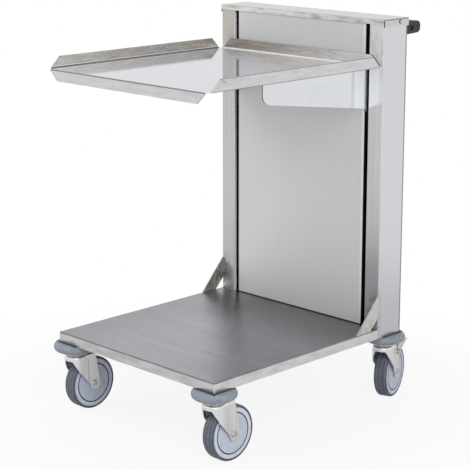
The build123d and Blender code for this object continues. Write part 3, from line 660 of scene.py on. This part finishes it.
def wheel_disc(joint):
    """Pale wheel disc with fine turned rings, a ring groove painted dark as shade, and a lighter rim."""
    shade_in, shade_out, rim_gap = 0.0007, 0.0004, 0.0002
    material, nodes = finish("wheel_disc_" + joint["child"])
    radius = nodes.about(joint["pos_m"], joint["axis"])
    rings = nodes.wave(radius, turned_rings)
    rim = nodes.above(radius, hub_ring_out + rim_gap)
    # painted shade: the ring groove and a little round it painted near black
    groove = nodes.between(radius, hub_ring_in - shade_in, hub_ring_out + shade_out)
    dust = nodes.blots(nodes.place(), (0.012, 0.012, 0.012), 0.45, 0.72)
    disc = nodes.mix(dust, tone(188, 196, 211), tone(176, 184, 198))
    edge = nodes.mix(dust, tone(203, 210, 224), tone(190, 197, 210))
    colour = nodes.mix(groove, nodes.mix(rim, disc, edge), tone(24, 27, 33))
    nodes.surface(colour, 0.40 + 0.10 * dust, Normal=nodes.relief(rings, 0.00004))
    return material


def tread_rubber(joint):
    """Blue-grey tyre with fine ribs and paler worn bands round its tread, and dust."""
    rib_pitch, band_pitch = 0.0027, 0.0100
    roll_start, roll_full = wheel_radius - 0.0012, wheel_radius - 0.0002
    material, nodes = finish("tread_rubber_" + joint["child"])
    place = nodes.place()
    radius = nodes.about(joint["pos_m"], joint["axis"])
    along = nodes.along(joint["pos_m"], joint["axis"])
    rolls = nodes.step(radius, roll_start, roll_full)
    ribs = nodes.wave(along, rib_pitch) * rolls
    worn = nodes.grain(place, (0.012, 0.012, 0.012), 3.0)
    bands = nodes.wave(along, band_pitch) * rolls * worn
    dust = nodes.blots(place, (0.010, 0.010, 0.010), 0.42, 0.70)
    colour = nodes.mix(bands, tone(76, 81, 93), tone(116, 121, 131))
    colour = nodes.mix(0.4 * dust, colour, tone(114, 118, 128))
    nodes.surface(colour, 0.55 + 0.12 * dust, Normal=nodes.relief(ribs, 0.00018))
    return material


def handle_grained():
    """Black moulded plastic with a coarse grain."""
    material, nodes = finish("handle_grained")
    place = nodes.place()
    grain = nodes.blots(place, (0.0014, 0.0014, 0.0014), 0.35, 0.65, 3.0)
    bloom = nodes.grain(place, (0.02, 0.02, 0.02), 3.0)
    colour = nodes.mix(grain * bloom, tone(19, 20, 21), tone(48, 49, 52))
    nodes.surface(colour, 0.42 + 0.12 * bloom, Normal=nodes.relief(grain, 0.00012))
    return material


def roller_turned():
    """Ivory turned rollers with grease in the tool marks."""
    tool_pitch = 0.0012
    material, nodes = finish("roller_turned")
    place = nodes.place()
    tool = nodes.wave(nodes.axes(place)[0], tool_pitch)
    grease = nodes.blots(place, (0.008, 0.008, 0.008), 0.45, 0.70, 4.0)
    colour = nodes.mix(grease, tone(226, 222, 210), tone(150, 142, 124))
    nodes.surface(colour, 0.35 + 0.10 * grease, Normal=nodes.relief(tool, 0.00004))
    return material


def buffer_moulded():
    """Black rubber stops with a pale bloom."""
    material, nodes = finish("buffer_moulded")
    place = nodes.place()
    bloom = nodes.blots(place, (0.006, 0.006, 0.006), 0.40, 0.75, 4.0)
    pores = nodes.grain(place, (0.0008, 0.0008, 0.0008))
    colour = nodes.mix(bloom, tone(34, 34, 35), tone(62, 61, 60))
    nodes.surface(colour, 0.62 + 0.10 * pores, Normal=nodes.relief(pores, 0.00008))
    return material


def weld_steel():
    """Weld metal: straw and grey heat tints between the ripples."""
    material, nodes = finish("weld_steel")
    tint = nodes.blots(nodes.place(), (0.004, 0.004, 0.004), 0.35, 0.65, 4.0)
    colour = nodes.mix(tint, tone(172, 165, 154), tone(112, 103, 94))
    nodes.surface(colour, 0.30 + 0.15 * tint, Metallic=1.0, Normal=nodes.relief(tint, 0.00012))
    return material


def slot_finishes():
    """The finish of each of the record's material slots."""
    return {
        "deck_steel": deck_brushed(), "column_steel": upright_satin(), "panel_steel": panel_satin(),
        "tray_steel": tray_polished(), "arm_steel": arm_polished(), "guide_steel": guide_mill(),
        "fastener_steel": fastener_bright(), "spring_steel": spring_wound(),
        "fork_steel": swivel_turned(), "pedal_steel": pedal_pressed(),
        "bumper_plastic": bumper_moulded(), "handle_plastic": handle_grained(),
        "roller_plastic": roller_turned(), "buffer_rubber": buffer_moulded(),
    }


def node_finishes():
    """The finish of each node that differs from the rest of its slot."""
    gusset = gusset_scorched()
    own = {"top_cap": cap_satin(), "rear_cover": cover_satin(), "cap_rivets": rivet_domed(),
           "gusset_left": gusset, "gusset_right": gusset}
    for corner in castor_corners:
        spin = joint_named(f"wheel_{corner}_spin")
        own[f"castor_fork_{corner}"] = fork_pressed(corner)
        own[f"wheel_hub_{corner}"] = wheel_disc(spin)
        own[f"wheel_tyre_{corner}"] = tread_rubber(spin)
    return own


def dress_cad(shared, own):
    """Gives each solid of the trolley its finish."""
    for subpart in frame["record"]["subparts"]:
        node = subpart["node"]
        material = own.get(node) or shared[subpart["material_slot"]]
        for slot in frame["nodes"][node].material_slots:
            slot.material = material


def add_piece(name, rings, material, body):
    """Makes a closed mesh of rings of points, riding on a body."""
    mesh = bmesh.new()
    rings = [[mesh.verts.new(point) for point in ring] for ring in rings]
    for near, far in zip(rings, rings[1:]):
        for corner in range(len(near)):
            after = (corner + 1) % len(near)
            mesh.faces.new((near[corner], near[after], far[after], far[corner]))
    mesh.faces.new(rings[0])
    mesh.faces.new(reversed(rings[-1]))
    bmesh.ops.recalc_face_normals(mesh, faces=mesh.faces)
    data = bpy.data.meshes.new(name)
    mesh.to_mesh(data)
    mesh.free()
    data.materials.append(material)
    piece = bpy.data.objects.new(name, data)
    bpy.context.scene.collection.objects.link(piece)
    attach(piece, body)
    return piece


def weld_bead(name, start, end, face, wall, material):
    """A rippled bead in the corner between two faces, given by their normals."""
    leg, ripple, sink = 0.0028, 0.0045, 0.0004
    ripple_points, turns = 8, 6
    swell, hollow = 0.14, 0.22  # shares of the bead's reach
    end_reach, taper_rate = 0.25, 8  # the share of it at an end, and its growth from there
    length = (end - start).length
    stations = ripple_points * round(length / ripple)
    rings = []
    for station in range(stations + 1):
        share = station / stations
        centre = start.lerp(end, share)
        taper = min(1.0, taper_rate * min(share, 1 - share) + end_reach)
        reach = leg * taper * (1 + swell * abs(math.sin(math.pi * share * length / ripple)))
        ring = [centre - (face + wall) * sink]
        for turn in range(turns + 1):
            angle = math.pi / 2 * turn / turns
            bulge = 1 - hollow * math.sin(2 * angle)
            around = face * math.cos(angle) + wall * math.sin(angle)
            ring.append(centre + around * reach * bulge - (face + wall) * sink)
        rings.append(ring)
    add_piece(name, rings, material, "frame").data.shade_smooth()


def weld_gussets():
    """Beads on the inner side of each gusset, up the column and along the deck."""
    steel = weld_steel()
    clear = 0.006  # from the ends of the gusset's edges
    forward = Vector((0, -1, 0))
    for hand, name in hands:
        inward = Vector((-hand, 0, 0))
        x = hand * (side - gusset_sheet)
        low = Vector((x, column_front, deck_top + gusset_corner_cut + clear))
        high = Vector((x, column_front, deck_top + gusset_height - clear))
        weld_bead(f"weld_column_{name}", low, high, inward, forward, steel)
        back = Vector((x, column_front - gusset_corner_cut - clear, deck_top))
        front = Vector((x, column_front - gusset_reach + clear, deck_top))
        weld_bead(f"weld_deck_{name}", back, front, inward, upward, steel)


def pedal_web(corner, hand, name, material):
    """A sheet web that closes the corner between a pedal's cheek and its fork."""
    thick, rounding, round_turns = 0.0016, 0.006, 5
    low, high = 0.002, 0.0196  # above the pivot
    front, end = -0.009, 0.0145  # behind the pivot
    across = Vector(joint_named(f"wheel_{corner}_spin")["axis"])
    pivot = Vector(joint_named(f"pedal_{corner}_press")["pos_m"])
    back = Vector((-across.y, across.x, 0))
    outline = [(front, low)]
    for turn in range(round_turns + 1):
        angle = math.pi / 2 * turn / round_turns
        behind = front + rounding * (1 - math.cos(angle))
        outline.append((behind, high - rounding * (1 - math.sin(angle))))
    outline.append((end, high))
    rings = []
    for out in (pedal_face - thick, pedal_face):
        centre = pivot + across * hand * out
        rings.append([centre + back * behind + upward * height for behind, height in outline])
    add_piece(f"pedal_web_{corner}_{name}", rings, material, f"pedal_{corner}")


def pedal_webs(material):
    """A web on both cheeks of each rear castor's pedal."""
    for corner in ("rear_left", "rear_right"):
        for hand, name in hands:
            pedal_web(corner, hand, name, material)


def ray_kinds(nodes):
    """1 for a ray from the camera, and 1 for a ray that a reflection or glass sends on."""
    camera, glossy, through = nodes.node(
        "LightPath", output=("Is Camera Ray", "Is Glossy Ray", "Is Transmission Ray"))
    return camera, nodes.either(glossy, through)


def floor_paper():
    """Pale paper that keeps a soft shadow near the trolley and fades to white further out."""
    seen_paper, mirrored_paper = 0.11, 0.60  # how much of the paper shows near the trolley
    seen_full, seen_end = 0.40, 0.95
    mirrored_full, mirrored_end = 1.10, 1.90
    material, nodes = finish("white_floor")
    place = nodes.place()
    camera, mirrored = ray_kinds(nodes)
    reach = nodes.length(place)
    close = 1 - nodes.step(reach, seen_full, seen_end)
    near = 1 - nodes.step(reach, mirrored_full, mirrored_end)
    speckle = nodes.grain(place, (0.4, 0.4, 0.4))
    paper_tone = nodes.mix(speckle, tone(208, 208, 208), tone(212, 212, 212))
    paper = nodes.node("BsdfPrincipled", None,
                       {"Base Color": paper_tone, "Roughness": 1.0, "Specular IOR Level": 0.0})
    glow = nodes.node("Emission", None, {"Color": tone(255, 255, 255), "Strength": 1.0})
    share = camera * (1 - seen_paper * close) + mirrored * (1 - mirrored_paper * near)
    nodes.out("OutputMaterial", nodes.node("MixShader", None, {0: share, 1: paper, 2: glow}))
    return material


def white_floor():
    """One large square under the wheels."""
    half = 8.0
    corners = [(-half, -half, 0), (half, -half, 0), (half, half, 0), (-half, half, 0)]
    data = bpy.data.meshes.new("floor")
    data.from_pydata(corners, [], [(0, 1, 2, 3)])
    data.materials.append(floor_paper())
    floor = bpy.data.objects.new("floor", data)
    bpy.context.scene.collection.objects.link(floor)


def white_studio():
    """White all round, a little dimmer overhead; its light is held below what is seen of it."""
    light, dimmed, dim_start = 0.60, 0.25, 0.35
    world = bpy.data.worlds.new("studio")
    world.use_nodes = True
    nodes = Nodes(world.node_tree)
    camera, mirrored = ray_kinds(nodes)
    height = nodes.axes(nodes.node("TexCoord", output="Generated"))[2]
    overhead = nodes.step(height, dim_start, 1.0)
    level = light + (1 - light) * camera + mirrored * (1 - light - dimmed * overhead)
    nodes.out("OutputWorld",
              nodes.node("Background", None, {"Color": tone(255, 255, 255), "Strength": level}))
    bpy.context.scene.world = world


def soft_lamp(name, place, width, height, watts, mirrored=False):
    """A rectangle of light, aimed at the middle of the trolley, that the camera doesn't see."""
    middle = Vector((0, 0, 0.45))
    light = bpy.data.lights.new(name, "AREA")
    light.shape = "RECTANGLE"
    light.size = width
    light.size_y = height
    light.energy = watts
    lamp = bpy.data.objects.new(name, light)
    lamp.location = place
    lamp.rotation_euler = (middle - Vector(place)).to_track_quat("-Z", "Y").to_euler()
    lamp.visible_camera = False
    lamp.visible_glossy = mirrored
    bpy.context.scene.collection.objects.link(lamp)


def photo_camera():
    """Looks at the front from its right, from above."""
    yaw, pitch = 0.7833, 0.2292
    data = bpy.data.cameras.new("camera")
    data.sensor_width = 36.0
    data.lens = 118.7
    data.shift_y = -0.05
    camera = bpy.data.objects.new("camera", data)
    camera.location = (2.449, -2.4720, 1.2765)
    camera.rotation_euler = (math.pi / 2 - pitch, 0, yaw)
    bpy.context.scene.collection.objects.link(camera)
    bpy.context.scene.camera = camera


photo_camera()
shared_finishes = slot_finishes()
dress_cad(shared_finishes, node_finishes())
weld_gussets()
pedal_webs(shared_finishes["pedal_steel"])
white_floor()
white_studio()
soft_lamp("key_lamp", (-2.0, -2.6, 3.2), width=2.4, height=2.4, watts=70)
soft_lamp("fill_lamp", (3.0, -1.4, 2.2), width=2.0, height=2.0, watts=60)
soft_lamp("low_card", (1.75, -1.37, 0.28), width=1.0, height=0.5, watts=1.9, mirrored=True)
bpy.context.scene.view_settings.view_transform = "Standard"
